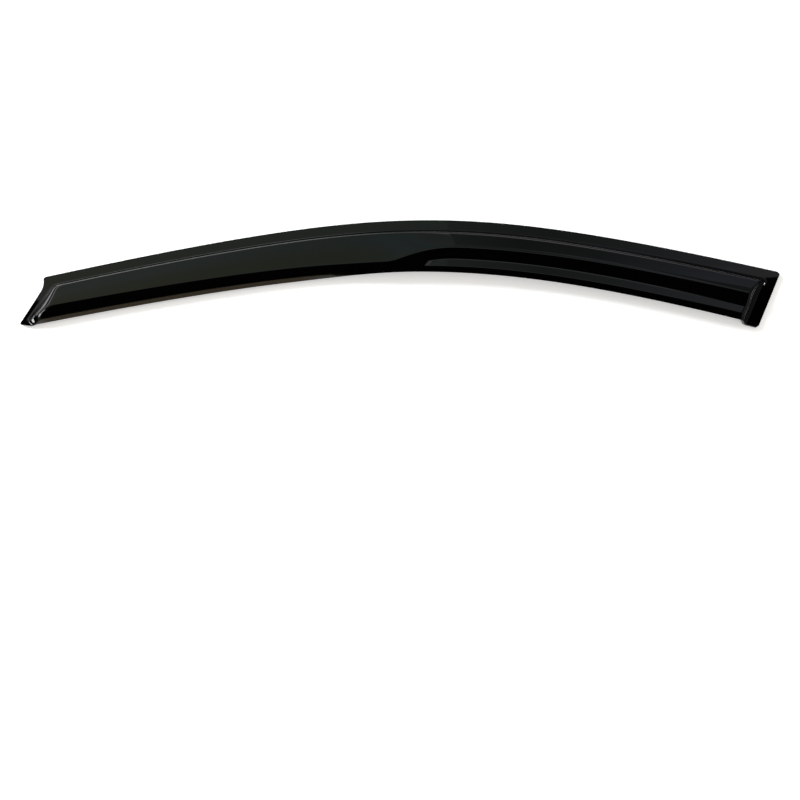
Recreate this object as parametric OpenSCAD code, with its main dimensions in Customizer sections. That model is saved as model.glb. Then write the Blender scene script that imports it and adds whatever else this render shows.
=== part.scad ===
// Window rain deflector for a left front door, lying on its mounting face.
// The front of the door is at -X, the roof side is at +Y and the outside is at +Z.
// The visor is one formed sheet: a flat flange, a step, a face, and a free edge that
// stands off the door. Its face turns over at a crease, and behind the crease's swing
// the free side opens out into a channelled wing. Foam tape on the flange's back holds it.

/* [Outline] */
// Length between the two upper corners of the flange
flange_len = 860; // [700:1:1050]
// Crown of the flange edge, from the front upper corner
flange_crown_x = 471; // [350:1:560]
// Slope of the flange edge towards the front, in degrees
flange_front_deg = 13.9; // [9:0.1:18]
// Slope of the flange edge towards the rear, in degrees
flange_rear_deg = 16.2; // [10:0.1:20]
// Radius of the flange edge at its crown
flange_crown_r = 880; // [600:10:1300]
// Depth of the band from crown to crown
band_w = 68.7; // [58:0.1:90]
// Crown of the free edge, from the front upper corner
free_crown_x = 492; // [380:1:560]
// Slope of the free edge towards the front, in degrees
free_front_deg = 13.1; // [9:0.1:18]
// Slope of the free edge towards the rear, in degrees
free_rear_deg = 18.4; // [12:0.1:22]
// Radius of the free edge at its crown
free_crown_r = 950; // [600:10:1300]

/* [Ends] */
// Height of the ear at the front end, down to its notch
ear_h = 12.5; // [8:0.1:20]
// Lean of the ear's end towards the rear, in degrees
ear_deg = 7; // [0:0.5:12]
// Length of the fillet in the notch
notch_fillet = 12; // [4:0.5:16]
// Rake of the front end below the notch, from the Y axis
front_edge_deg = 27.6; // [15:0.1:31]
// Rake of the front wall
front_wall_deg = 31; // [20:0.1:34]
// Width of the front end strip, from the ear's corner
front_strip = 9.4; // [8:0.1:16]
// How far the front tip's lower edge stays inside the free edge
front_trim = 4.6; // [0:0.1:7]
// How far the front wall's foot turns in at its lower end
tip_turn = 6; // [0:0.1:7]
// Distance from the free edge over which the foot turns in
tip_reach = 11; // [9:0.1:14]
// Rake of the rear end and of its wall
rear_deg = 24.9; // [10:0.1:32]
// Width of the rear end strip
rear_strip = 14; // [10:0.1:18]
// How far the rear strip's lower edge stays inside the free edge
rear_trim = 0; // [0:0.1:4]
// Corner radius of the ear
ear_r = 3; // [1:0.1:4]
// Corner radius of the front tip
tip_r = 3.5; // [2:0.1:6]
// Corner radius at the top of the rear end
rear_top_r = 4.5; // [2:0.1:8]
// Corner radius at the bottom of the rear end
rear_low_r = 3; // [2:0.1:6]

/* [Section] */
// Thickness of the sheet
sheet_t = 2.8; // [2:0.1:3.2]
// Chamfer all round the cut edge of the sheet
rim_c = 0.5; // [0.2:0.1:0.8]
// Width of the flat flange
flange_w = 12.1; // [11:0.1:18]
// Slope of the step between flange and face
step_deg = 48.5; // [40:0.5:60]
// Slope of the front wall
front_slope_deg = 38; // [30:1:55]
// Slope of the rear wall
rear_slope_deg = 58; // [40:1:60]
// Height of the step at the front end
crest_h_front = 5; // [4:0.1:8]
// Height of the step at the rear end
crest_h_rear = 7.5; // [5:0.1:9]
// Height of the crease in the front half
crease_h_front = 12; // [9:0.1:15]
// Height of the crease in the rear half
crease_h_rear = 16.4; // [14:0.1:19]
// Crease to free edge at the front end
crease_w_tip = 15.2; // [11:0.1:17]
// Crease to free edge where its swing starts
crease_w_front = 10.3; // [9:0.1:13]
// Crease to free edge where its swing ends
crease_w_rear = 28.8; // [26:0.1:32]
// Crease to free edge at the rear end
crease_w_end = 31.6; // [26:0.1:34]
// Crown of the face between step and crease
face_crown = 0.4; // [0:0.1:1]
// Fillet half-width over the crease
crease_fillet = 3; // [2:0.1:4]

/* [Free edge] */
// Height of the free edge in the front half
free_h_front = 1; // [0.5:0.1:4]
// Height of the free edge in the rear half
free_h_rear = 10; // [8:0.1:12]
// Width of the turned-down rim
rim_w = 3.4; // [2.4:0.1:4]
// Drop of the turned-down rim in the front half
rim_drop = 6; // [3:0.1:7]
// Valley of the wing, as a part of the way from free edge to crease
valley_part = 0.61; // [0.5:0.01:0.66]
// Height of the wing's valley
valley_h = 11.7; // [10.5:0.1:13]
// Ridge of the wing, as a part of the way from free edge to crease
ridge_part = 0.21; // [0.2:0.01:0.26]
// Height of the wing's ridge
ridge_h = 12.5; // [11.5:0.1:14]

/* [Change from front to rear half] */
// Where the crease starts to swing
swing_start = 420; // [380:1:440]
// Length of the swing
swing_len = 80; // [60:1:110]
// Where the free edge starts to rise
rise_start = 280; // [200:1:320]
// Length over which it rises
rise_len = 190; // [150:1:260]
// Where the crease starts to rise
crease_rise_start = 335; // [260:1:360]
// Length over which it rises
crease_rise_len = 145; // [110:1:200]
// Where the channel of the wing starts
wing_start = 425; // [400:1:480]
// Length over which the channel opens
wing_len = 50; // [40:1:100]

/* [Tape] */
// Thickness of the foam tape
tape_t = 1; // [0.8:0.1:1.6]
// Width of the tape along the flange
tape_w = 8.5; // [6:0.1:9]
// Width of the tape on the two end strips
end_tape_w = 5.5; // [4:0.1:7]
// Margin between tape and cut edge
tape_margin = 1.5; // [1:0.1:2]
// Gap between one strip of tape and the next
tape_gap = 1.5; // [1:0.1:3]

/* [Hidden] */

smoke = [0.07, 0.065, 0.06];
foam = [0.16, 0.16, 0.17];

// Level of the flange's outer face
flange_z = tape_t + sheet_t;
// Fillet heights, measured on the steeper of the two faces
foot_fillet = 1.4;
crest_fillet = 2.4;
end_fillet = 6;
// The end walls' fillet is at most this part of the body's height
end_fillet_part = 0.5;
wall_corner = 4;
valley_fillet = 3.4;
ridge_fillet = 1.1;
rim_fillet = 1.1;
no_fillet = 0.1;
// Half-width of the curve in plan in which the swing sets off
swing_fillet = 8;
// Step for slopes worked out from the surface itself
probe = 0.02;

// Blends and fillets

function clamp01(t) = max(0, min(1, t));
function ease(t) = let (c = clamp01(t)) c * c * c * (c * (c * 6 - 15) + 10);
function mix(a, b, t) = a + (b - a) * t;
// Larger of h and 0, with a fillet of half-width r
function soft_floor(h, r) = h <= -r ? 0 : h >= r ? h : pow(h + r, 2) / (4 * r);
// Smaller of two heights, with a fillet where they are less than r apart
function soft_min(a, b, r) = min(a, b) - pow(max(0, r - abs(a - b)), 2) / (4 * r);

// Outline in plan: each long edge has two straight arms joined by a round crown

function arch(x, crown_x, front_deg, rear_deg, r) =
    let (
        lean = (tan(rear_deg) - tan(front_deg)) / 2,
        arm = (tan(rear_deg) + tan(front_deg)) / 2,
        c = r * arm * arm,
        dx = x - crown_x
    )
    c - lean * dx - sqrt(pow(arm * dx, 2) + c * c);

function flange_y(x) = arch(x, flange_crown_x, flange_front_deg, flange_rear_deg, flange_crown_r);
function free_y(x) = arch(x, free_crown_x, free_front_deg, free_rear_deg, free_crown_r) - band_w;
function band(x) = flange_y(x) - free_y(x);

// A row follows the flange edge. A raked line crosses the rows, and a step along a row
// counts for this part of its length in X on the line's own scale.
function skew(deg, edge_deg) = 1 - tan(deg) * tan(edge_deg);
front_edge_skew = skew(front_edge_deg, flange_front_deg);
front_wall_skew = skew(front_wall_deg, flange_front_deg);
rear_skew = skew(rear_deg, -flange_rear_deg);

// Each raked line as a shift in X for each millimetre across the band
front_edge_k = tan(front_edge_deg) / front_edge_skew;
front_wall_k = tan(front_wall_deg) / front_wall_skew;
rear_k = tan(rear_deg) / rear_skew;

notch_y = flange_y(0) - ear_h;
notch_foot_x = front_strip / cos(front_wall_deg);

// Distance inside the foot line of the front wall, and of the rear wall
function turn_in(b) = tip_turn * pow(clamp01(1 - b / tip_reach), 2);
function front_in(x, y) =
    (x - notch_foot_x + tan(front_wall_deg) * (notch_y - y)) * cos(front_wall_deg)
    - turn_in(y - free_y(x));
function rear_in(x, y) =
    (flange_len - tan(rear_deg) * (flange_y(flange_len) - y) - x) * cos(rear_deg) - rear_strip;

// Section: heights above the flange, at distances b from the free edge

// The swing sets off in a short curve and eases out over the rest of its length
function swing(x) =
    let (t = clamp01(soft_floor(x - swing_start, swing_fillet) / swing_len)) t * (2 - t);
function rise(x) = ease((x - rise_start) / rise_len);
function crease_rise(x) = ease((x - crease_rise_start) / crease_rise_len);
function wing(x) = ease((x - wing_start) / wing_len);

swing_end = swing_start + swing_len;
function front_w(x) = mix(crease_w_tip, crease_w_front, clamp01(x / swing_start));
function rear_w(x) =
    mix(crease_w_rear, crease_w_end, clamp01((x - swing_end) / (flange_len - swing_end)));
function crease_b(x) = mix(front_w(x), rear_w(x), swing(x));
function crease_h(x) = mix(crease_h_front, crease_h_rear, crease_rise(x));
function crest_h(x) = mix(crest_h_front, crest_h_rear, clamp01(x / flange_len));
function crest_a(x) = flange_w + crest_h(x) / tan(step_deg);
function free_h(x) = mix(free_h_front, free_h_rear, rise(x));
function lip_slope() = (ridge_h - free_h_rear) / (ridge_part * crease_w_rear);
function rim_h(x) = free_h(x) + mix(rim_drop, lip_slope() * rim_w, rise(x));
// The channel's two lines lie between the fillets of rim and crease until the wing opens
function lip_b(x, front_part, part) =
    mix(mix(rim_w + rim_fillet, front_w(x) - crease_fillet, front_part), part * rear_w(x), swing(x));
function valley_b(x) = lip_b(x, 0.68, valley_part);
function ridge_b(x) = lip_b(x, 0.25, ridge_part);
function strip_h(x, b) = mix(rim_h(x), crease_h(x), (b - rim_w) / (crease_b(x) - rim_w));

// Corner points of the section: distance, height and fillet half-width. Past the
// crest the section stays level, above the step that cuts it off there.
function section(x) = [
    [0, free_h(x), no_fillet],
    [rim_w, rim_h(x), rim_fillet],
    [ridge_b(x), mix(strip_h(x, ridge_b(x)), ridge_h, wing(x)), ridge_fillet],
    [valley_b(x), mix(strip_h(x, valley_b(x)), valley_h, wing(x)), valley_fillet],
    [crease_b(x), crease_h(x), crease_fillet],
    [band(x) - crest_a(x), crest_h(x), crease_fillet],
    [band(x), crest_h(x), no_fillet]
];

function leg_slope(s, k) = (s[k + 1][1] - s[k][1]) / (s[k + 1][0] - s[k][0]);
function leg_of(s, b, k = 0) = k >= len(s) - 2 || b < s[k + 1][0] ? k : leg_of(s, b, k + 1);
function fillet_lift(s, b, k) =
    let (r = s[k][2], gap = r - abs(b - s[k][0]))
    gap <= 0 ? 0 : (leg_slope(s, k) - leg_slope(s, k - 1)) * gap * gap / (4 * r);
function body_h(x, b) =
    let (
        s = section(x),
        k = leg_of(s, b),
        straight = s[k][1] + leg_slope(s, k) * (b - s[k][0]),
        face = clamp01((b - s[4][0]) / (s[5][0] - s[4][0]))
    )
    straight + fillet_lift(s, b, 1) + fillet_lift(s, b, 2) + fillet_lift(s, b, 3)
    + fillet_lift(s, b, 4) + fillet_lift(s, b, 5) + 16 * face_crown * pow(face * (1 - face), 2);

// The outer skin: step and end walls rise from the flange and meet the body
function end_round(body) = max(crest_fillet, min(end_fillet, end_fillet_part * body));
function skin_h(x, y) =
    let (
        step = tan(step_deg) * (flange_y(x) - y - flange_w),
        front = tan(front_slope_deg) * front_in(x, y),
        rear = tan(rear_slope_deg) * rear_in(x, y),
        rise_in = soft_min(soft_min(step, front, wall_corner), rear, wall_corner),
        body = body_h(x, y - free_y(x)),
        end_share = ease((step - min(front, rear)) / wall_corner)
    )
    soft_min(soft_floor(rise_in, foot_fillet), body, mix(crest_fillet, end_round(body), end_share));

function skin_normal(x, y) =
    let (
        sx = (skin_h(x + probe, y) - skin_h(x - probe, y)) / (2 * probe),
        sy = (skin_h(x, y + probe) - skin_h(x, y - probe)) / (2 * probe)
    )
    [-sx, -sy, 1] / sqrt(sx * sx + sy * sy + 1);

// Rows of the mesh follow the section's lines; a row is given by its distance
// from the flange edge, so that every row has an explicit place at every station

// Rows close to the flange edge, which carry its rounded corners
edge_rows = [2.2, 5];
// Rows across a fillet, in half-widths, and rows on the face between its two fillets
fillet_parts = [-1, -0.33, 0.33, 1];
face_parts = [0.38, 0.66];
// The face rises at about this slope, which narrows the fillet at the crest
face_slope = 0.3;
// Where there is no channel yet, its rows keep this part of their spread
closed_spread = 0.1;

function spread(at, r, parts) = [for (p = parts) at + r * p];
function row_list(x, inset) =
    let (
        w = band(x),
        foot_r = foot_fillet / tan(step_deg),
        crest_r = crest_fillet / (tan(step_deg) - face_slope),
        crease = w - crease_b(x),
        open = mix(closed_spread, 1, swing(x))
    )
    concat(
        [inset, edge_rows[0], edge_rows[1], (edge_rows[1] + flange_w) / 2],
        spread(flange_w, foot_r, [-1, 0, 1]),
        spread(crest_a(x), crest_r, fillet_parts),
        [for (p = face_parts) mix(crest_a(x), crease, p)],
        spread(crease, crease_fillet, fillet_parts),
        spread(w - valley_b(x), valley_fillet * open, [-1, 0, 1]),
        spread(w - ridge_b(x), ridge_fillet * open, [-1, 0, 1]),
        spread(w - rim_w, rim_fillet, [-1, 0, 1]),
        [w - inset]
    );
rows = len(row_list(0, 0));

// Columns: a strip of flange at each end, the end walls, and the stations between.
// Each is [zone, place], where place is a part of the zone or a station in X.

strip_parts = [0, 0.16, 0.32, 0.6, 1];
wall_parts = [0.5, 1, 1.35];
station_from = 66;
station_to = flange_len - 52;
// Steps between stations on the straight arms, where the edge rises and in the swing
arm_step = 22;
rise_step = 14;
swing_step = 5;
// Where the body's height is taken for the front wall's columns, and for the rear's
front_probe_x = 20;
rear_probe_x = flange_len - 50;
function stations(from, to, step) =
    let (n = max(1, round((to - from) / step)))
    [for (i = [0 : n - 1]) mix(from, to, i / n)];
columns = concat(
    [for (p = strip_parts) [0, p]],
    [for (p = wall_parts) [1, p]],
    [for (p = fillet_parts) [2, p]],
    [for (x = stations(station_from, rise_start, arm_step)) [3, x]],
    [for (x = stations(rise_start, swing_start, rise_step)) [3, x]],
    [for (x = stations(swing_start, swing_end, swing_step)) [3, x]],
    [for (x = stations(swing_end, station_to, arm_step)) [3, x]],
    [[3, station_to]],
    [for (i = [3 : -1 : 0]) [4, fillet_parts[i]]],
    [for (i = [2 : -1 : 0]) [5, wall_parts[i]]],
    [for (i = [4 : -1 : 0]) [6, strip_parts[i]]]
);
cols = len(columns);

function front_edge_x(a) =
    tan(ear_deg) * a - (front_edge_k + tan(ear_deg)) * soft_floor(a - ear_h, notch_fillet / 2);
function front_foot_x(a) =
    notch_foot_x / front_wall_skew - front_wall_k * (a - ear_h)
    + turn_in(band(0) - a) / cos(front_wall_deg);
function rear_edge_x(a) = flange_len - rear_k * a;
function rear_foot_x(a) = rear_edge_x(a) - rear_strip / cos(rear_deg) / rear_skew;
// Height reached by an end wall in row a, never below a small step so that columns stay apart
function wall_top(x, a) =
    max(crest_h_front, min(body_h(x, band(x) - a), tan(step_deg) * (a - flange_w)));

// Where a column crosses a row that lies a from the flange edge
function column_x(col, a, inset) =
    let (
        zone = col[0],
        p = col[1],
        front_tan = tan(front_slope_deg) * cos(front_wall_deg) * front_wall_skew,
        rear_tan = tan(rear_slope_deg) * cos(rear_deg) * rear_skew,
        foot_f = foot_fillet / front_tan,
        foot_r = foot_fillet / rear_tan,
        front_top = wall_top(front_probe_x, a),
        rear_top = wall_top(rear_probe_x, a)
    )
    zone == 0 ? mix(front_edge_x(a) + inset * (1 - p), front_foot_x(a) - foot_f, p) :
    zone == 1 ? front_foot_x(a) + foot_f * (2 * p - 1) :
    zone == 2 ? front_foot_x(a) + (front_top + end_round(front_top) * p) / front_tan :
    zone == 3 ? p - mix(front_wall_k, rear_k, p / flange_len) * a :
    zone == 4 ? rear_foot_x(a) - (rear_top + end_round(rear_top) * p) / rear_tan :
    zone == 5 ? rear_foot_x(a) - foot_r * (2 * p - 1) :
    mix(rear_edge_x(a) - inset * (1 - p), rear_foot_x(a) + foot_r, p);

// Rounds a corner of the grid: p and q are the distances from its two edges
function rounded(p, q, r) =
    let (u = clamp01(1 - p / r), v = clamp01(1 - q / r))
    p >= r || q >= r ? [p, q] : [r * (1 - u * sqrt(1 - v * v / 2)), r * (1 - v * sqrt(1 - u * u / 2))];

// The trim of the two end strips: it grows from the front wall's foot to the tip, and
// at the rear it fades out up the wall
wall_end = 1.4;
function trim_of(zone, p) =
    zone == 0 ? front_trim * (1 - p) :
    zone == 6 ? rear_trim :
    zone == 5 ? rear_trim * (1 - p / wall_end) : 0;
// Rows nearer to the free edge than this take up the trim
trim_depth = 30;

function grid_xy(i, j, inset) =
    let (
        col = columns[i],
        x_mid = column_x(col, band_w / 2, inset),
        a = row_list(x_mid, inset)[j],
        x_row = column_x(col, a, inset),
        w = band(x_row),
        trim = trim_of(col[0], col[1]),
        a_row = row_list(x_row, inset)[j],
        squeeze = trim * clamp01(1 - (w - a_row) / trim_depth),
        a_in = a_row - squeeze,
        x = column_x(col, a - squeeze, inset),
        from_front = x - front_edge_x(a - squeeze),
        from_rear = rear_edge_x(a - squeeze) - x,
        low = w - trim - a_in,
        r_low = from_front < from_rear ? tip_r : rear_low_r,
        r_top = from_front < from_rear ? ear_r : rear_top_r,
        end_gap = min(from_front, from_rear),
        top = rounded(end_gap, a_in, r_top),
        bottom = rounded(end_gap, low, r_low),
        shift_x = (top[0] - end_gap) + (bottom[0] - end_gap),
        shift_a = (top[1] - a_in) - (bottom[1] - low),
        x_new = x + (from_front < from_rear ? 1 : -1) * shift_x
    )
    [x_new, flange_y(x) - a_in - shift_a];

function sheet_point(xy, depth) =
    let (h = skin_h(xy[0], xy[1]), n = skin_normal(xy[0], xy[1]))
    [xy[0], xy[1], flange_z + h] - depth * n;

// The mesh: outer skin, inner skin, and two loops that chamfer the cut edge

rim_walk = concat(
    [for (i = [0 : cols - 2]) [i, 0]],
    [for (j = [0 : rows - 2]) [cols - 1, j]],
    [for (i = [cols - 1 : -1 : 1]) [i, rows - 1]],
    [for (j = [rows - 1 : -1 : 1]) [0, j]]
);
rim_n = len(rim_walk);
skin_n = cols * rows;

module visor_mesh() {
    plan = [for (i = [0 : cols - 1]) for (j = [0 : rows - 1]) grid_xy(i, j, rim_c)];
    rim = [for (w = rim_walk) grid_xy(w[0], w[1], 0)];
    points = concat(
        [for (p = plan) sheet_point(p, 0)],
        [for (p = plan) sheet_point(p, sheet_t)],
        [for (p = rim) sheet_point(p, rim_c)],
        [for (p = rim) sheet_point(p, sheet_t - rim_c)]
    );
    function at(i, j) = i * rows + j;
    function loop(k, ring) =
        let (w = rim_walk[k % rim_n])
        ring == 0 ? at(w[0], w[1]) :
        ring == 3 ? skin_n + at(w[0], w[1]) : 2 * skin_n + (ring - 1) * rim_n + k % rim_n;
    outer = [
        for (i = [0 : cols - 2]) for (j = [0 : rows - 2])
            for (t = [[at(i, j), at(i + 1, j + 1), at(i, j + 1)],
                      [at(i, j), at(i + 1, j), at(i + 1, j + 1)]]) t
    ];
    inner = [for (t = outer) [t[0], t[2], t[1]] + skin_n * [1, 1, 1]];
    edge = [
        for (ring = [0 : 2]) for (k = [0 : rim_n - 1])
            for (t = [[loop(k, ring), loop(k + 1, ring + 1), loop(k + 1, ring)],
                      [loop(k, ring), loop(k, ring + 1), loop(k + 1, ring + 1)]]) t
    ];
    polyhedron(points, concat(outer, inner, edge), convexity = 12);
}

// Origin: centre of the outline's box, on the mounting face
outline = [for (w = rim_walk) grid_xy(w[0], w[1], 0)];
centre_x = (min([for (p = outline) p[0]]) + max([for (p = outline) p[0]])) / 2;
centre_y = (min([for (p = outline) p[1]]) + max([for (p = outline) p[1]])) / 2;
module in_part_frame() {
    translate([-centre_x, -centre_y, 0]) children();
}

module visor() {
    color(smoke) in_part_frame() visor_mesh();
}

// Tape: strips cut to follow the flange and the two ends

tape_steps = 40;
module flange_tape() {
    from = tape_margin;
    to = flange_len - rear_top_r;
    xs = [for (i = [0 : tape_steps]) mix(from, to, i / tape_steps)];
    upper = [for (x = xs) [x, flange_y(x) - tape_margin]];
    lower = [for (i = [tape_steps : -1 : 0]) [xs[i], flange_y(xs[i]) - tape_margin - tape_w]];
    color(foam) in_part_frame() linear_extrude(tape_t) polygon(concat(upper, lower));
}

// A straight strip along an end, between two rows, one margin inside the end's edge
module end_strip(edge_x, side, deg, from_a, to_a) {
    inner_x = tape_margin / cos(deg);
    outer_x = (tape_margin + end_tape_w) / cos(deg);
    function corner(x, a) = [x, flange_y(x) - a];
    top = edge_x[0];
    bottom = edge_x[1];
    linear_extrude(tape_t) polygon([
        corner(top + side * inner_x, from_a), corner(top + side * outer_x, from_a),
        corner(bottom + side * outer_x, to_a), corner(bottom + side * inner_x, to_a)
    ]);
}

module front_tape() {
    from_a = max(ear_h + notch_fillet / 2, tape_margin + tape_w + tape_gap);
    to_a = band(front_edge_x(band_w)) - front_trim - tip_r;
    ends = [front_edge_x(from_a), front_edge_x(to_a)];
    color(foam) in_part_frame() end_strip(ends, 1, front_edge_deg, from_a, to_a);
}

module rear_tape() {
    from_a = tape_margin + tape_w + tape_gap;
    to_a = band(rear_edge_x(band_w)) - rear_low_r - rear_trim;
    ends = [rear_edge_x(from_a), rear_edge_x(to_a)];
    color(foam) in_part_frame() end_strip(ends, -1, rear_deg, from_a, to_a);
}

visor();
flange_tape();
front_tape();
rear_tape();
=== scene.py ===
"""A window rain deflector for a left front door: one smoked acrylic sheet on foam tape.

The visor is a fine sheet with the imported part's outline and section. Its skin differs a
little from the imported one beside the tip, where the wing's valley begins and at the foot of
the rear wall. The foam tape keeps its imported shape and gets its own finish. All sizes are
in metres.
"""

import math

import bmesh
import bpy
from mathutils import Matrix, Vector


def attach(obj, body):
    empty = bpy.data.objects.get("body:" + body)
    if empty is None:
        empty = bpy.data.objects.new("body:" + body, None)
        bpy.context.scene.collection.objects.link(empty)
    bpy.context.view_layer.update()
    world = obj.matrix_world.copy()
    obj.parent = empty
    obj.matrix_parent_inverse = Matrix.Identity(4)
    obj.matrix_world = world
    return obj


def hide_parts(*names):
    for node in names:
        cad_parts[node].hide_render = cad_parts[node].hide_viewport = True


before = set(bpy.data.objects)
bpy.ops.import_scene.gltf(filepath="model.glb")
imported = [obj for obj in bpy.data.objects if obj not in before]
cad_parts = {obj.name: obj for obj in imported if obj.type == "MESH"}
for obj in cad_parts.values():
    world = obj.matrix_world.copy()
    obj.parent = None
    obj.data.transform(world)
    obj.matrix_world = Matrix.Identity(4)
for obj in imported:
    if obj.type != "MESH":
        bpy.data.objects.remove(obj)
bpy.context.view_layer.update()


# --- Camera ---------------------------------------------------------------------------

CAMERA_PLACE = (0.05615, -0.28967, 0.78026)
CAMERA_TURN_DEG = (10.207, 3.091, 0.793)
LENS_MM = 31.5
SENSOR_MM = 36.0


def add_camera():
    camera = bpy.data.objects.new("camera", bpy.data.cameras.new("camera"))
    bpy.context.scene.collection.objects.link(camera)
    camera.location = CAMERA_PLACE
    camera.rotation_euler = [math.radians(a) for a in CAMERA_TURN_DEG]
    camera.data.lens = LENS_MM
    camera.data.sensor_width = SENSOR_MM
    bpy.context.scene.camera = camera


add_camera()


# --- Sizes of the visor ---------------------------------------------------------------

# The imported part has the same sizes, but for the three TIP_TURN and TIP_REACH values, the
# valley's fillet at its start and the fillet of the rear wall's foot

# Outline: each long edge is an arch with two straight arms and a round crown
FLANGE_LEN = 0.86
FLANGE_ARCH = {"crown_x": 0.471, "front_deg": 13.9, "rear_deg": 16.2, "crown_r": 0.88}
FREE_ARCH = {"crown_x": 0.492, "front_deg": 13.1, "rear_deg": 18.4, "crown_r": 0.95}
BAND_W = 0.0687

# Ends
EAR_H = 0.0125
EAR_DEG = 7.0
NOTCH_FILLET = 0.012
FRONT_EDGE_DEG = 27.6
FRONT_WALL_DEG = 31.0
FRONT_STRIP = 0.0094
TIP_TURN = 0.0102
TIP_TURN_POWER = 1.2
TIP_REACH = 0.0093
FRONT_TRIM = 0.0046
REAR_DEG = 24.9
REAR_STRIP = 0.014
EAR_R = 0.003
TIP_R = 0.0035
REAR_TOP_R = 0.0045
REAR_LOW_R = 0.003

# Section
SHEET_T = 0.0028
EDGE_ROUND = 0.0005
EDGE_ROUND_FROM_DEG = 60
FLANGE_W = 0.0121
STEP_DEG = 48.5
FRONT_SLOPE_DEG = 38.0
REAR_SLOPE_DEG = 58.0
CREST_H = (0.005, 0.0075)
CREASE_H = (0.012, 0.0164)
CREASE_W_FRONT = (0.0152, 0.0103)
CREASE_W_REAR = (0.0288, 0.0316)
FACE_CROWN = 0.0004
FREE_H = (0.001, 0.01)
RIM_W = 0.0034
RIM_DROP = 0.006
VALLEY_PART = 0.61
VALLEY_FRONT_PART = 0.68
VALLEY_H = 0.0117
RIDGE_PART = 0.21
RIDGE_FRONT_PART = 0.25
RIDGE_H = 0.0125
TAPE_T = 0.001
FLANGE_Z = TAPE_T + SHEET_T

# Where the section changes from the front half to the rear half: start and length
SWING = (0.42, 0.08)
RISE = (0.28, 0.19)
CREASE_RISE = (0.335, 0.145)
WING = (0.425, 0.05)

# Fillets: in plan as half-widths, and on the steps and walls as heights
CREASE_FILLET = 0.003
VALLEY_FILLET = 0.0034
VALLEY_FILLET_START = 0.0085
VALLEY_SHARPEN = (0.440, 0.042)
RIDGE_FILLET = 0.0011
RIM_FILLET = 0.0011
NO_FILLET = 0.0001
SWING_FILLET = 0.008
FOOT_FILLET = 0.0014
REAR_FOOT_FILLET = 0.0024
CREST_FILLET = 0.0024
END_FILLET = 0.006
END_FILLET_PART = 0.5
WALL_CORNER = 0.004


# --- The visor's surface --------------------------------------------------------------


def tan_deg(angle):
    return math.tan(math.radians(angle))


def cos_deg(angle):
    return math.cos(math.radians(angle))


def clamp01(t):
    return max(0.0, min(1.0, t))


def ease(t):
    c = clamp01(t)
    return c * c * c * (c * (c * 6 - 15) + 10)


def mix(a, b, t):
    return a + (b - a) * t


def soft_floor(h, r):
    """The larger of h and 0, with a fillet of half-width r."""
    return 0.0 if h <= -r else h if h >= r else (h + r) ** 2 / (4 * r)


def soft_min(a, b, r):
    """The smaller of two heights, with a fillet where they are less than r apart."""
    return min(a, b) - max(0.0, r - abs(a - b)) ** 2 / (4 * r)


def arch(x, crown_x, front_deg, rear_deg, crown_r):
    lean = (tan_deg(rear_deg) - tan_deg(front_deg)) / 2
    arm = (tan_deg(rear_deg) + tan_deg(front_deg)) / 2
    c = crown_r * arm * arm
    dx = x - crown_x
    return c - lean * dx - math.hypot(arm * dx, c)


def flange_y(x):
    return arch(x, **FLANGE_ARCH)


def free_y(x):
    return arch(x, **FREE_ARCH) - BAND_W


def band(x):
    return flange_y(x) - free_y(x)


def skew(deg, edge_deg):
    return 1 - tan_deg(deg) * tan_deg(edge_deg)


FRONT_SKEW = skew(FRONT_WALL_DEG, FLANGE_ARCH["front_deg"])
REAR_SKEW = skew(REAR_DEG, -FLANGE_ARCH["rear_deg"])
FRONT_EDGE_K = tan_deg(FRONT_EDGE_DEG) / skew(FRONT_EDGE_DEG, FLANGE_ARCH["front_deg"])
FRONT_WALL_K = tan_deg(FRONT_WALL_DEG) / FRONT_SKEW
REAR_K = tan_deg(REAR_DEG) / REAR_SKEW
NOTCH_Y = flange_y(0) - EAR_H
NOTCH_FOOT_X = FRONT_STRIP / cos_deg(FRONT_WALL_DEG)
REAR_CORNER_Y = flange_y(FLANGE_LEN)


def turn_in(b):
    """How far the front wall's foot turns in at distance b from the free edge."""
    return TIP_TURN * clamp01(1 - b / TIP_REACH) ** TIP_TURN_POWER


def front_in(x, y):
    """Distance in from the foot of the front wall."""
    rake = x - NOTCH_FOOT_X + tan_deg(FRONT_WALL_DEG) * (NOTCH_Y - y)
    return rake * cos_deg(FRONT_WALL_DEG) - turn_in(y - free_y(x))


def rear_in(x, y):
    """Distance in from the foot of the rear wall."""
    rake = FLANGE_LEN - tan_deg(REAR_DEG) * (REAR_CORNER_Y - y) - x
    return rake * cos_deg(REAR_DEG) - REAR_STRIP


def swing(x):
    t = clamp01(soft_floor(x - SWING[0], SWING_FILLET) / SWING[1])
    return t * (2 - t)


def along(x, span):
    return ease((x - span[0]) / span[1])


def front_w(x):
    return mix(*CREASE_W_FRONT, clamp01(x / SWING[0]))


def rear_w(x):
    end = SWING[0] + SWING[1]
    return mix(*CREASE_W_REAR, clamp01((x - end) / (FLANGE_LEN - end)))


def crease_b(x):
    return mix(front_w(x), rear_w(x), swing(x))


def crest_h(x):
    return mix(*CREST_H, clamp01(x / FLANGE_LEN))


def crest_a(x):
    return FLANGE_W + crest_h(x) / tan_deg(STEP_DEG)


def lip_b(x, front_part, part):
    closed = mix(RIM_W + RIM_FILLET, front_w(x) - CREASE_FILLET, front_part)
    return mix(closed, part * rear_w(x), swing(x))


def valley_fillet(x):
    """Wide where the strip begins, so that it starts in a point."""
    return mix(VALLEY_FILLET_START, VALLEY_FILLET, along(x, VALLEY_SHARPEN))


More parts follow.
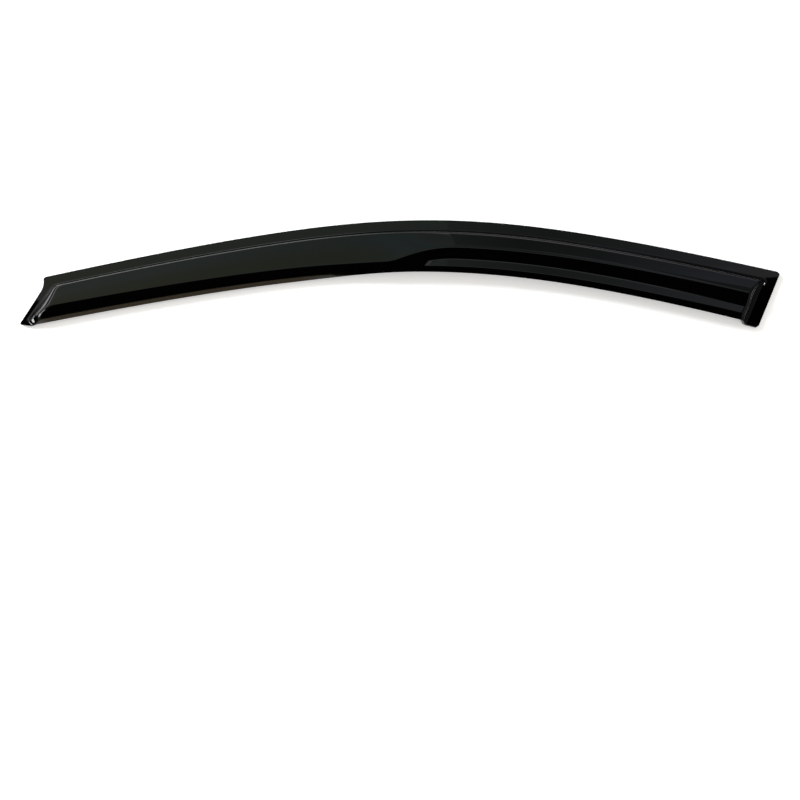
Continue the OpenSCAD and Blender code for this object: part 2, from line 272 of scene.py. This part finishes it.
def section(x):
    """Corners of the section: distance from the free edge, height and fillet half-width."""
    rise = along(x, RISE)
    wing = along(x, WING)
    free_h = mix(*FREE_H, rise)
    lip_slope = (RIDGE_H - FREE_H[1]) / (RIDGE_PART * CREASE_W_REAR[0])
    rim_h = free_h + mix(RIM_DROP, lip_slope * RIM_W, rise)
    crease = (crease_b(x), mix(*CREASE_H, along(x, CREASE_RISE)))

    def strip_h(b):
        return mix(rim_h, crease[1], (b - RIM_W) / (crease[0] - RIM_W))

    ridge = lip_b(x, RIDGE_FRONT_PART, RIDGE_PART)
    valley = lip_b(x, VALLEY_FRONT_PART, VALLEY_PART)
    return [
        (0.0, free_h, NO_FILLET),
        (RIM_W, rim_h, RIM_FILLET),
        (ridge, mix(strip_h(ridge), RIDGE_H, wing), RIDGE_FILLET),
        (valley, mix(strip_h(valley), VALLEY_H, wing), valley_fillet(x)),
        (*crease, CREASE_FILLET),
        (band(x) - crest_a(x), crest_h(x), CREASE_FILLET),
        (band(x), crest_h(x), NO_FILLET),
    ]


def body_h(x, b):
    corners = section(x)
    slopes = [(q[1] - p[1]) / (q[0] - p[0]) for p, q in zip(corners, corners[1:])]
    leg = 0
    while leg < len(slopes) - 1 and b >= corners[leg + 1][0]:
        leg += 1
    height = corners[leg][1] + slopes[leg] * (b - corners[leg][0])
    for k in range(1, len(slopes)):
        place, _, fillet = corners[k]
        gap = max(0.0, fillet - abs(b - place))
        height += (slopes[k] - slopes[k - 1]) * gap * gap / (4 * fillet)
    face = clamp01((b - corners[4][0]) / (corners[5][0] - corners[4][0]))
    return height + 16 * FACE_CROWN * (face * (1 - face)) ** 2


def skin_h(x, y):
    """Height of the outer skin above the flange."""
    step = tan_deg(STEP_DEG) * (flange_y(x) - y - FLANGE_W)
    front = tan_deg(FRONT_SLOPE_DEG) * front_in(x, y)
    rear = tan_deg(REAR_SLOPE_DEG) * rear_in(x, y)
    rise_in = soft_min(soft_min(step, front, WALL_CORNER), rear, WALL_CORNER)
    body = body_h(x, y - free_y(x))
    end_round = max(CREST_FILLET, min(END_FILLET, END_FILLET_PART * body))
    end_share = ease((step - min(front, rear)) / WALL_CORNER)
    fillet = mix(CREST_FILLET, end_round, end_share)
    rear_share = ease((min(step, front) - rear) / WALL_CORNER)
    foot = mix(FOOT_FILLET, REAR_FOOT_FILLET, rear_share)
    return soft_min(soft_floor(rise_in, foot), body, fillet)


# --- The visor's grid in plan ---------------------------------------------------------


def spread(at, reach, count):
    return [at + reach * (2 * k / (count - 1) - 1) for k in range(count)]


def between(a, b, count):
    return [mix(a, b, (k + 1) / (count + 1)) for k in range(count)]


FLANGE_ROWS = [0.0, 0.0009, 0.0018, 0.0029, 0.0042, 0.006, 0.0082, 0.0104]
EDGE_ROW = 0.0009
FACE_SLOPE = 0.3
CLOSED_SPREAD = 0.1


def row_list(x):
    """Distances of the rows from the flange edge, fine over every fillet."""
    w = band(x)
    foot_r = FOOT_FILLET / tan_deg(STEP_DEG)
    crest_r = CREST_FILLET / (tan_deg(STEP_DEG) - FACE_SLOPE)
    crest, crease = crest_a(x), w - crease_b(x)
    valley = w - lip_b(x, VALLEY_FRONT_PART, VALLEY_PART)
    ridge = w - lip_b(x, RIDGE_FRONT_PART, RIDGE_PART)
    opened = mix(CLOSED_SPREAD, 1, swing(x))
    valley_r, ridge_r = VALLEY_FILLET * opened, RIDGE_FILLET * opened
    rim = w - RIM_W
    return (
        FLANGE_ROWS
        + spread(FLANGE_W, foot_r, 5)
        + between(FLANGE_W + foot_r, crest - crest_r, 2)
        + spread(crest, crest_r, 13)
        + between(crest + crest_r, crease - CREASE_FILLET, 7)
        + spread(crease, CREASE_FILLET, 9)
        + between(crease + CREASE_FILLET, valley - valley_r, 4)
        + spread(valley, valley_r, 6)
        + spread(ridge, ridge_r, 5)
        + spread(rim, RIM_FILLET, 4)
        + [w - EDGE_ROW, w]
    )


def front_edge_x(a):
    lean = tan_deg(EAR_DEG)
    return lean * a - (FRONT_EDGE_K + lean) * soft_floor(a - EAR_H, NOTCH_FILLET / 2)


def front_foot_x(a):
    turn = turn_in(band(0.0) - a) / cos_deg(FRONT_WALL_DEG)
    return NOTCH_FOOT_X / FRONT_SKEW - FRONT_WALL_K * (a - EAR_H) + turn


def rear_edge_x(a):
    return FLANGE_LEN - REAR_K * a


# Columns keep their distance from the nearer end; the two end zones are finer
END_ZONE = 0.052
END_STEPS = 88
MIDDLE_STEPS = 400


def column_x(k, a):
    """Where a column crosses a row that lies a from the flange edge."""
    front, rear = front_edge_x(a), rear_edge_x(a)
    if k < END_STEPS:
        return front + END_ZONE * k / END_STEPS
    if k > END_STEPS + MIDDLE_STEPS:
        return rear - END_ZONE * (2 * END_STEPS + MIDDLE_STEPS - k) / END_STEPS
    t = (k - END_STEPS) / MIDDLE_STEPS
    return mix(front + END_ZONE, rear - END_ZONE, t)


def rounded(p, q, r):
    """Rounds a corner of the grid: p and q are the distances from its two edges."""
    if p >= r or q >= r:
        return p, q
    u, v = clamp01(1 - p / r), clamp01(1 - q / r)
    return (
        r * (1 - u * math.sqrt(1 - v * v / 2)),
        r * (1 - v * math.sqrt(1 - u * u / 2)),
    )


TRIM_DEPTH = 0.030


def trim_at(x, a):
    """How far the front strip's lower edge stays inside the free edge."""
    front_gap = x - front_edge_x(a)
    front_strip = max(EDGE_ROW, front_foot_x(a) - front_edge_x(a))
    if front_gap < front_strip:
        return FRONT_TRIM * (1 - front_gap / front_strip)
    return 0.0


def plan_point(k, j):
    """Place in plan of column k on row j."""
    a = row_list(column_x(k, BAND_W / 2))[j]
    x_row = column_x(k, a)
    a_row = row_list(x_row)[j]
    w = band(x_row)
    trim = trim_at(x_row, a)
    squeeze = trim * clamp01(1 - (w - a_row) / TRIM_DEPTH)
    a_in = a_row - squeeze
    x = column_x(k, a - squeeze)
    front_gap = x - front_edge_x(a - squeeze)
    rear_gap = rear_edge_x(a - squeeze) - x
    at_front = front_gap < rear_gap
    gap = min(front_gap, rear_gap)
    low = w - trim - a_in
    top = rounded(gap, a_in, EAR_R if at_front else REAR_TOP_R)
    bottom = rounded(gap, low, TIP_R if at_front else REAR_LOW_R)
    shift_x = (top[0] - gap) + (bottom[0] - gap)
    shift_a = (top[1] - a_in) - (bottom[1] - low)
    x_new = x + (shift_x if at_front else -shift_x)
    return x_new, flange_y(x) - a_in - shift_a


# --- The visor as a mesh --------------------------------------------------------------


# Painted light through the front half's rim, as brown colour: how far past the rim and how
# softly it ends, how far from the front wall it is full, and where it fades toward the middle
LIT_RIM_SPARE = 0.0004
LIT_RIM_BLUR = 0.0012
LIT_RIM_END = 0.02
LIT_RIM_FADE = (0.30, 0.08)


def painted_rim_light_mask(x, y):
    """1 on the front half's rim, where light coming through the sheet is painted on as colour."""
    in_rim = clamp01((RIM_W + LIT_RIM_SPARE - (y - free_y(x))) / LIT_RIM_BLUR)
    at_end = ease(front_in(x, y) / LIT_RIM_END)
    return in_rim * at_end * (1 - along(x, LIT_RIM_FADE))


def make_visor():
    """A flat grid is pulled to the outline and the section, and given its thickness."""
    columns = 2 * END_STEPS + MIDDLE_STEPS
    rows = len(row_list(0.0)) - 1
    bm = bmesh.new()
    bmesh.ops.create_grid(bm, x_segments=columns, y_segments=rows, size=1)
    # The attribute thin holds where the painted rim light goes
    thin = bm.verts.layers.float.new("thin")
    for vert in bm.verts:
        k = round((vert.co.x + 1) / 2 * columns)
        j = round((1 - vert.co.y) / 2 * rows)
        x, y = plan_point(k, j)
        vert.co = (x, y, FLANGE_Z + skin_h(x, y))
        vert[thin] = painted_rim_light_mask(x, y)
    spans = [[v.co[axis] for v in bm.verts] for axis in (0, 1)]
    middle = [(min(span) + max(span)) / 2 for span in spans]
    bmesh.ops.translate(bm, verts=bm.verts, vec=(-middle[0], -middle[1], 0))
    bmesh.ops.recalc_face_normals(bm, faces=bm.faces)
    if sum(f.normal.z for f in bm.faces) < 0:
        bmesh.ops.reverse_faces(bm, faces=bm.faces)
    mesh = bpy.data.meshes.new("smoked_visor")
    bm.to_mesh(mesh)
    bm.free()
    mesh.shade_smooth()
    visor = bpy.data.objects.new("smoked_visor", mesh)
    bpy.context.scene.collection.objects.link(visor)
    wall = visor.modifiers.new("sheet", "SOLIDIFY")
    wall.thickness = SHEET_T
    wall.offset = -1
    wall.use_quality_normals = True
    rim = visor.modifiers.new("edge", "BEVEL")
    rim.width = EDGE_ROUND
    rim.segments = 2
    rim.limit_method = "ANGLE"
    rim.angle_limit = math.radians(EDGE_ROUND_FROM_DEG)
    return visor, middle


# --- Materials ------------------------------------------------------------------------


class Socket:
    """A shader value that can be used in sums, products and blends."""

    def __init__(self, shader, out):
        self.shader, self.out = shader, out

    def _math(self, operation, a, b):
        return self.shader.node("ShaderNodeMath", {"operation": operation}, {0: a, 1: b})

    def __add__(self, other):
        return self._math("ADD", self, other)

    def __sub__(self, other):
        return self._math("SUBTRACT", self, other)

    def __rsub__(self, other):
        return self._math("SUBTRACT", other, self)

    def __mul__(self, other):
        return self._math("MULTIPLY", self, other)

    __radd__ = __add__
    __rmul__ = __mul__


class Shader:
    """The node tree of one finish, or of the world."""

    def __init__(self, owner):
        owner.use_nodes = True
        self.owner, self.tree = owner, owner.node_tree
        self.tree.nodes.clear()

    def node(self, kind, settings=None, inputs=None, out=0):
        made = self.tree.nodes.new(kind)
        for key, value in (settings or {}).items():
            if key == "stops":
                self._stops(made.color_ramp, value)
            else:
                setattr(made, key, value)
        for key, value in (inputs or {}).items():
            if isinstance(value, Socket):
                self.tree.links.new(value.out, made.inputs[key])
            else:
                made.inputs[key].default_value = value
        return Socket(self, made.outputs[out]) if made.outputs else made

    def _stops(self, ramp, stops):
        while len(ramp.elements) < len(stops):
            ramp.elements.new(0.5)
        for element, (place, colour) in zip(ramp.elements, stops):
            element.position = place
            element.color = (*colour, 1.0)

    def place(self):
        return self.node("ShaderNodeTexCoord", out="Object")

    def axes(self):
        place = self.place()
        return [self.node("ShaderNodeSeparateXYZ", None, {0: place}, out=k) for k in range(3)]

    def noise(self, scale, detail=2.0, stretch=(1, 1, 1)):
        mapped = self.node("ShaderNodeMapping", None, {"Vector": self.place(), "Scale": stretch})
        return self.node(
            "ShaderNodeTexNoise", None, {"Vector": mapped, "Scale": scale, "Detail": detail}
        )

    def finish(self, surface, output="ShaderNodeOutputMaterial"):
        self.node(output, None, {"Surface": surface})
        return self.owner

    def glow(self, colour, strength=1.0):
        inputs = {"Color": colour, "Strength": strength}
        return self.finish(self.node("ShaderNodeEmission", None, inputs))


def material_shader(name):
    return Shader(bpy.data.materials.new(name))


def blend(s, factor, a, b, kind="MIX"):
    settings = {"data_type": "RGBA", "blend_type": kind}
    return s.node("ShaderNodeMix", settings, {"Factor": factor, 6: a, 7: b}, out=2)


ACRYLIC_COLOUR = (0.0006, 0.0006, 0.0006, 1.0)
ACRYLIC_IOR = 1.49
# Painted light: brown that stands in for light coming through the rim
PAINTED_RIM_LIGHT_COLOUR = (0.024, 0.016, 0.004, 1.0)
FOAM_DARK = (0.014, 0.014, 0.015, 1)
FOAM_LIGHT = (0.030, 0.030, 0.032, 1)


def smoked_acrylic():
    """Dark smoked acrylic, polished, with the slight ripple of a formed sheet."""
    s = material_shader("smoked_acrylic")
    ripple = s.noise(28.0, 1.0, (0.35, 1.0, 1.0))
    grain = s.noise(900.0, 2.0)
    bump = s.node(
        "ShaderNodeBump",
        None,
        {"Height": ripple * 0.7 + grain * 0.008, "Strength": 0.12, "Distance": 0.0006},
    )
    rough = 0.012 + 0.014 * s.noise(14.0, 3.0)
    polished = s.node(
        "ShaderNodeBsdfPrincipled",
        None,
        {
            "Base Color": ACRYLIC_COLOUR,
            "Roughness": rough,
            "IOR": ACRYLIC_IOR,
            "Normal": bump,
        },
    )
    # Painted light on the rim: a dull brown finish stands in for light coming through the sheet
    painted_rim_light = s.node(
        "ShaderNodeBsdfPrincipled",
        None,
        {
            "Base Color": PAINTED_RIM_LIGHT_COLOUR,
            "Roughness": 0.3,
            "Specular IOR Level": 0.12,
        },
    )
    # The attribute thin blends the painted rim light over the polished acrylic
    thin = s.node("ShaderNodeAttribute", {"attribute_name": "thin"}, out="Fac")
    return s.finish(s.node("ShaderNodeMixShader", None, {0: thin, 1: polished, 2: painted_rim_light}))


def foam_tape():
    """Grey acrylic foam with open cells."""
    s = material_shader("foam_tape")
    cells = s.noise(1400.0, 3.0)
    cloud = s.noise(90.0, 2.0)
    colour = blend(s, cloud, FOAM_DARK, FOAM_LIGHT)
    bump = s.node(
        "ShaderNodeBump", None, {"Height": cells, "Strength": 0.5, "Distance": 0.0003}
    )
    surface = s.node(
        "ShaderNodeBsdfPrincipled",
        None,
        {"Base Color": colour, "Roughness": 0.92, "Normal": bump},
    )
    return s.finish(surface)


# --- Studio ---------------------------------------------------------------------------

FLOOR_SIZE = 14.0
FLOOR_WHITE = 0.90
FLOOR_LIFT = 0.38
SKY_LIGHT = 0.60
SKY_WARM = (1.0, 0.975, 0.92)

# The tent is a room of cards that only the gloss sees
ROOM_H = 3.0
ROOM_X = (-5.0, 9.0)
ROOM_Y = (-7.0, 6.0)
SKIRT_Z = 0.5
CANOPY_EDGE = 1.03
CANOPY_LEAN = 0.028
EDGE_BAND_W = 0.06
EDGE_BAND_BLUR = 0.015
EDGE_CARD_Y = 0.80
SIDE_CARD_Y = 0.2
SPLIT_X = 0.054
SPLIT_LEAN = 0.033
SPLIT_BLUR = 0.008
FAR_PLAIN_X = -1.5
FAR_PLAIN_BLUR = 0.8
SAME_PLACE = 1e-6
REAR_CARD_COLOUR = (0.92, 1.0, 0.97)
REAR_CARD_GLOW = 0.03

# Cards that light the end walls and the tip: name, corner, and width and height
SIDE_LAMP_GLOW = 10.0
SIDE_LAMPS = [
    ("side_lamp_low", (-4.9, -1.5, 0.1), (1.1, 0.55)),
    ("side_lamp_near", (-4.2, -3.7, 0.2), (0.9, 0.6)),
    ("side_lamp_high", (-3.0, -1.1, 2.0), (1.3, 0.85)),
]

# One small lamp for the dot of light at the foot of the rear wall
PIN_GLOW = 60.0
PIN_SIZE = 0.008
PIN_PLACE = (1.807, 1.027, 2.95)

# Low flags round the visor: their distance from it, height, place and tone
FLAG_GAP = 0.016
FLAG_H = 0.012
FLAG_RISE = (0.28, 0.22)
FLAG_TONE = 0.03
END_FLAG_GAP = 0.008
END_FLAG_H = 0.008
END_FLAG_TONE = 0.20
FLAG_POINTS = 40
FRONT_FLAG_ROWS = (-0.02, 0.0, EAR_H, EAR_H + 0.006, BAND_W)

KEY_LAMP = {
    "azimuth": 240,
    "elevation": 29,
    "distance": 2.8,
    "size": (0.7, 0.7),
    "power": 80,
    "colour": (0.93, 0.97, 1.0),
}


def seen(shader):
    """1 for what the camera sees, itself, mirrored or through glass, and 0 for other light."""
    def flag(name):
        return shader.node("ShaderNodeLightPath", out=name)

    total = flag("Is Camera Ray") + flag("Is Glossy Ray") + flag("Is Transmission Ray")
    return shader.node("ShaderNodeMath", {"operation": "MINIMUM"}, {0: total, 1: 1.0})


def add_floor():
    bm = bmesh.new()
    bmesh.ops.create_grid(bm, x_segments=1, y_segments=1, size=FLOOR_SIZE)
    mesh = bpy.data.meshes.new("floor")
    bm.to_mesh(mesh)
    bm.free()
    floor = bpy.data.objects.new("floor", mesh)
    bpy.context.scene.collection.objects.link(floor)
    s = material_shader("floor")
    paper = s.node("ShaderNodeBsdfDiffuse", None, {"Color": (FLOOR_WHITE,) * 3 + (1,)})
    lift = s.node(
        "ShaderNodeEmission", None, {"Color": (1, 1, 1, 1), "Strength": seen(s) * FLOOR_LIFT}
    )
    surface = s.node("ShaderNodeAddShader", None, {0: paper, 1: lift})
    mesh.materials.append(s.finish(surface))


def add_card(name, line, pull, material):
    """A card for the gloss: a line of points pulled along a vector into a sheet."""
    bm = bmesh.new()
    start = [bm.verts.new(point) for point in line]
    edges = [bm.edges.new(pair) for pair in zip(start, start[1:])]
    made = bmesh.ops.extrude_edge_only(bm, edges=edges)
    pulled = [g for g in made["geom"] if isinstance(g, bmesh.types.BMVert)]
    bmesh.ops.translate(bm, verts=pulled, vec=pull)
    for vert in bm.verts:
        if abs(vert.co.y - CANOPY_EDGE) < SAME_PLACE:
            vert.co.y += CANOPY_LEAN * vert.co.x
    mesh = bpy.data.meshes.new(name)
    bm.to_mesh(mesh)
    bm.free()
    mesh.materials.append(material)
    card = bpy.data.objects.new(name, mesh)
    bpy.context.scene.collection.objects.link(card)
    card.visible_camera = False
    card.visible_diffuse = False
    card.visible_shadow = False
    card.visible_transmission = False


def glow(name, colour, strength=1.0):
    return material_shader(name).glow((*colour, 1), strength)


def grey(tone):
    return (tone, tone, tone)


def ramp(s, value, stops):
    """A colour that follows a value through stops of (value, colour)."""
    low, high = stops[0][0], stops[-1][0]
    share = s.node(
        "ShaderNodeMapRange", None, {"Value": value, "From Min": low, "From Max": high}
    )
    scaled = [((at - low) / (high - low), colour) for at, colour in stops]
    return s.node("ShaderNodeValToRGB", {"stops": scaled}, {"Fac": share})


def step_at(s, value, at, blur):
    return s.node(
        "ShaderNodeMapRange",
        None,
        {"Value": value, "From Min": at - blur, "From Max": at + blur},
    )


def ceiling_card():
    """Greenish grey over the front half, darker and bluish over the rear half."""
    s = material_shader("ceiling_card")
    x, y, _ = s.axes()
    front = ramp(
        s,
        y,
        [
            (1.0, (0.44, 0.47, 0.40)),
            (2.3, (0.37, 0.385, 0.27)),
            (3.4, (0.35, 0.41, 0.39)),
            (4.6, (0.30, 0.36, 0.34)),
        ],
    )
    lift = ramp(s, x, [(-3.4, (1.24, 1.20, 1.12)), (0.0, (0.80, 0.92, 1.0))])
    rear = ramp(
        s,
        x,
        [
            (0.1, (0.27, 0.31, 0.29)),
            (0.7, (0.18, 0.21, 0.19)),
            (1.2, (0.26, 0.28, 0.29)),
            (1.9, (0.38, 0.41, 0.46)),
            (2.15, (0.38, 0.41, 0.46)),
            (2.7, (0.12, 0.14, 0.135)),
        ],
    )
    split = step_at(s, x - SPLIT_LEAN * y, SPLIT_X, SPLIT_BLUR)
    tone = blend(s, split, blend(s, 1.0, front, lift, "MULTIPLY"), rear)
    band_tone = ramp(
        s,
        x,
        [(-0.5, (0.44, 0.48, 0.47)), (0.3, grey(1.1)), (1.4, grey(1.1)), (1.7, grey(0.42))],
    )
    behind = step_at(s, y - CANOPY_LEAN * x, CANOPY_EDGE + EDGE_BAND_W, EDGE_BAND_BLUR)
    tone = blend(s, behind, band_tone, tone)
    return s.glow(tone)


def far_card():
    """The far wall: light and low on the front side, dark on the rear side."""
    s = material_shader("far_card")
    x, y, z = s.axes()
    front = ramp(
        s,
        z,
        [
            (0.5, (2.2, 2.3, 2.2)),
            (0.95, (1.7, 1.8, 1.7)),
            (1.25, (0.5, 0.54, 0.5)),
            (1.6, (0.22, 0.26, 0.24)),
            (3.0, (0.29, 0.335, 0.31)),
        ],
    )
    plain = ramp(
        s,
        z,
        [
            (0.5, (0.9, 0.95, 0.9)),
            (1.1, (0.3, 0.33, 0.31)),
            (1.5, (0.19, 0.23, 0.22)),
            (3.0, (0.28, 0.33, 0.31)),
        ],
    )
    front = blend(s, step_at(s, x, FAR_PLAIN_X, FAR_PLAIN_BLUR), front, plain)
    rear = ramp(
        s,
        x,
        [
            (0.25, (0.17, 0.21, 0.20)),
            (1.3, (0.10, 0.13, 0.12)),
            (2.4, (0.14, 0.16, 0.16)),
            (3.9, (0.25, 0.27, 0.33)),
        ],
    )
    low = ramp(s, z, [(0.6, grey(0.7)), (3.0, grey(1.05))])
    split = step_at(s, x - SPLIT_LEAN * y, SPLIT_X, SPLIT_BLUR)
    tone = blend(s, split, front, blend(s, 1.0, rear, low, "MULTIPLY"))
    return s.glow(tone)


def side_card():
    """The wall beyond the front end: white at the floor, then dark with one light bar."""
    s = material_shader("side_card")
    _, _, z = s.axes()
    tone = ramp(
        s,
        z,
        [
            (0.45, grey(3.0)),
            (0.55, grey(0.22)),
            (1.70, grey(0.22)),
            (1.82, grey(2.6)),
            (2.18, grey(2.6)),
            (2.25, (0.40, 0.43, 0.40)),
        ],
    )
    return s.glow(tone)


def canopy_card():
    """Black over the visor, grey toward both sides."""
    s = material_shader("canopy_card")
    x, _, _ = s.axes()
    side = (0.36, 0.38, 0.37)
    tone = ramp(s, x, [(-4.6, side), (-2.2, (0, 0, 0)), (2.6, (0, 0, 0)), (5.6, side)])
    return s.glow(tone)


def edge_card():
    """The canopy's rim, light over the rear half: it draws a thin line on each fillet."""
    s = material_shader("edge_card")
    x, _, _ = s.axes()
    line = (0.60, 0.64, 0.63)
    tone = ramp(s, x, [(-0.15, (0, 0, 0)), (0.0, line), (1.25, line), (1.6, (0, 0, 0))])
    return s.glow(tone)


def rear_flag_card():
    """Grey beside the middle of the visor, dark round its rear end."""
    s = material_shader("rear_flag")
    x, _, _ = s.axes()
    tone = ramp(s, x, [(0.10, grey(0.30)), (0.28, grey(0.20)), (0.40, grey(FLAG_TONE))])
    return s.glow(tone)


def add_tent():
    """A dark canopy over the near side and grey cards round the rest, seen in the gloss."""
    (x0, x1), (y0, y1) = ROOM_X, ROOM_Y
    black = glow("canopy", (0, 0, 0), 0.0)
    across = (x1 - x0, 0, 0)
    canopy = canopy_card()
    add_card("canopy_wall", [(x0, y0, SKIRT_Z), (x0, y0, ROOM_H)], across, canopy)
    add_card("canopy", [(x0, y0, ROOM_H), (x0, EDGE_CARD_Y, ROOM_H)], across, canopy)
    line = [(x0, EDGE_CARD_Y, ROOM_H), (x0, CANOPY_EDGE, ROOM_H)]
    add_card("edge_card", line, across, edge_card())
    rear = glow("rear_card", REAR_CARD_COLOUR, REAR_CARD_GLOW)
    add_card("rear_card", [(x1, y0, 0), (x1, y0, ROOM_H)], (0, y1 - y0, 0), rear)
    line = [(x0, CANOPY_EDGE, ROOM_H), (x0, y1, ROOM_H)]
    add_card("ceiling_card", line, across, ceiling_card())
    add_card("far_card", [(x0, y1, SKIRT_Z), (x0, y1, ROOM_H)], across, far_card())
    line = [(x0, y0, SKIRT_Z), (x0, y0, ROOM_H)]
    add_card("side_dark", line, (0, SIDE_CARD_Y - y0, 0), black)
    line = [(x0, SIDE_CARD_Y, 0), (x0, SIDE_CARD_Y, ROOM_H)]
    add_card("side_card", line, (0, y1 - SIDE_CARD_Y, 0), side_card())
    lamp = glow("side_lamp", (1, 1, 1), SIDE_LAMP_GLOW)
    for name, (x, y, z), (wide, tall) in SIDE_LAMPS:
        add_card(name, [(x, y, z), (x, y, z + tall)], (0, wide, 0), lamp)
    pin = glow("pin_lamp", (1, 1, 1), PIN_GLOW)
    x, y, z = PIN_PLACE
    add_card("pin_lamp", [(x, y, z), (x, y + PIN_SIZE, z)], (PIN_SIZE, 0, 0), pin)




def add_flags(middle):
    """Low dark flags round the rear half and along the front end, seen in the gloss."""
    line = []
    for k in range(FLAG_POINTS + 1):
        x = mix(FLAG_RISE[0], FLANGE_LEN + FLAG_GAP, k / FLAG_POINTS)
        sunk = FLAG_H * (ease((x - FLAG_RISE[0]) / FLAG_RISE[1]) - 1)
        line.append((x - middle[0], flange_y(x) + FLAG_GAP - middle[1], sunk))
    low = REAR_CORNER_Y - BAND_W
    x = FLANGE_LEN - tan_deg(REAR_DEG) * BAND_W + FLAG_GAP
    line.append((x - middle[0], low - middle[1], 0))
    add_card("rear_flag", line, (0, 0, FLAG_H), rear_flag_card())
    line = []
    for a in FRONT_FLAG_ROWS:
        x = front_edge_x(a)
        line.append((x - END_FLAG_GAP - middle[0], flange_y(x) - a - middle[1], 0))
    add_card("front_flag", line, (0, 0, END_FLAG_H), glow("front_flag", (1, 1, 1), END_FLAG_TONE))


def add_lamp(name, azimuth, elevation, distance, size, power, colour):
    """A soft lamp aimed at the visor. Azimuth 0 is the free side, 90 the rear end."""
    data = bpy.data.lights.new(name, "AREA")
    data.shape = "RECTANGLE"
    data.size, data.size_y = size
    data.energy = power
    data.color = colour
    lamp = bpy.data.objects.new(name, data)
    bpy.context.scene.collection.objects.link(lamp)
    lamp.visible_glossy = False
    a, e = math.radians(azimuth), math.radians(elevation)
    back = Vector((math.sin(a) * math.cos(e), -math.cos(a) * math.cos(e), math.sin(e)))
    lamp.location = back * distance
    lamp.rotation_euler = back.to_track_quat("Z", "Y").to_euler()


def add_sky():
    world = bpy.data.worlds.new("studio")
    bpy.context.scene.world = world
    s = Shader(world)
    shown = seen(s)
    colour = blend(s, shown, (*SKY_WARM, 1), (1, 1, 1, 1))
    strength = SKY_LIGHT + shown * (1.0 - SKY_LIGHT)
    background = s.node("ShaderNodeBackground", None, {"Color": colour, "Strength": strength})
    s.finish(background, "ShaderNodeOutputWorld")


# --- Assembly -------------------------------------------------------------------------

acrylic = smoked_acrylic()
foam = foam_tape()

visor, plan_middle = make_visor()
visor.data.materials.append(acrylic)
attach(visor, "root")
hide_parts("visor")

for name in ("flange_tape", "front_tape", "rear_tape"):
    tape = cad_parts[name]
    for slot in tape.material_slots:
        slot.material = foam

add_floor()
add_tent()
add_flags(plan_middle)
add_sky()
add_lamp("key", **KEY_LAMP)

bpy.context.scene.view_settings.view_transform = "Standard"
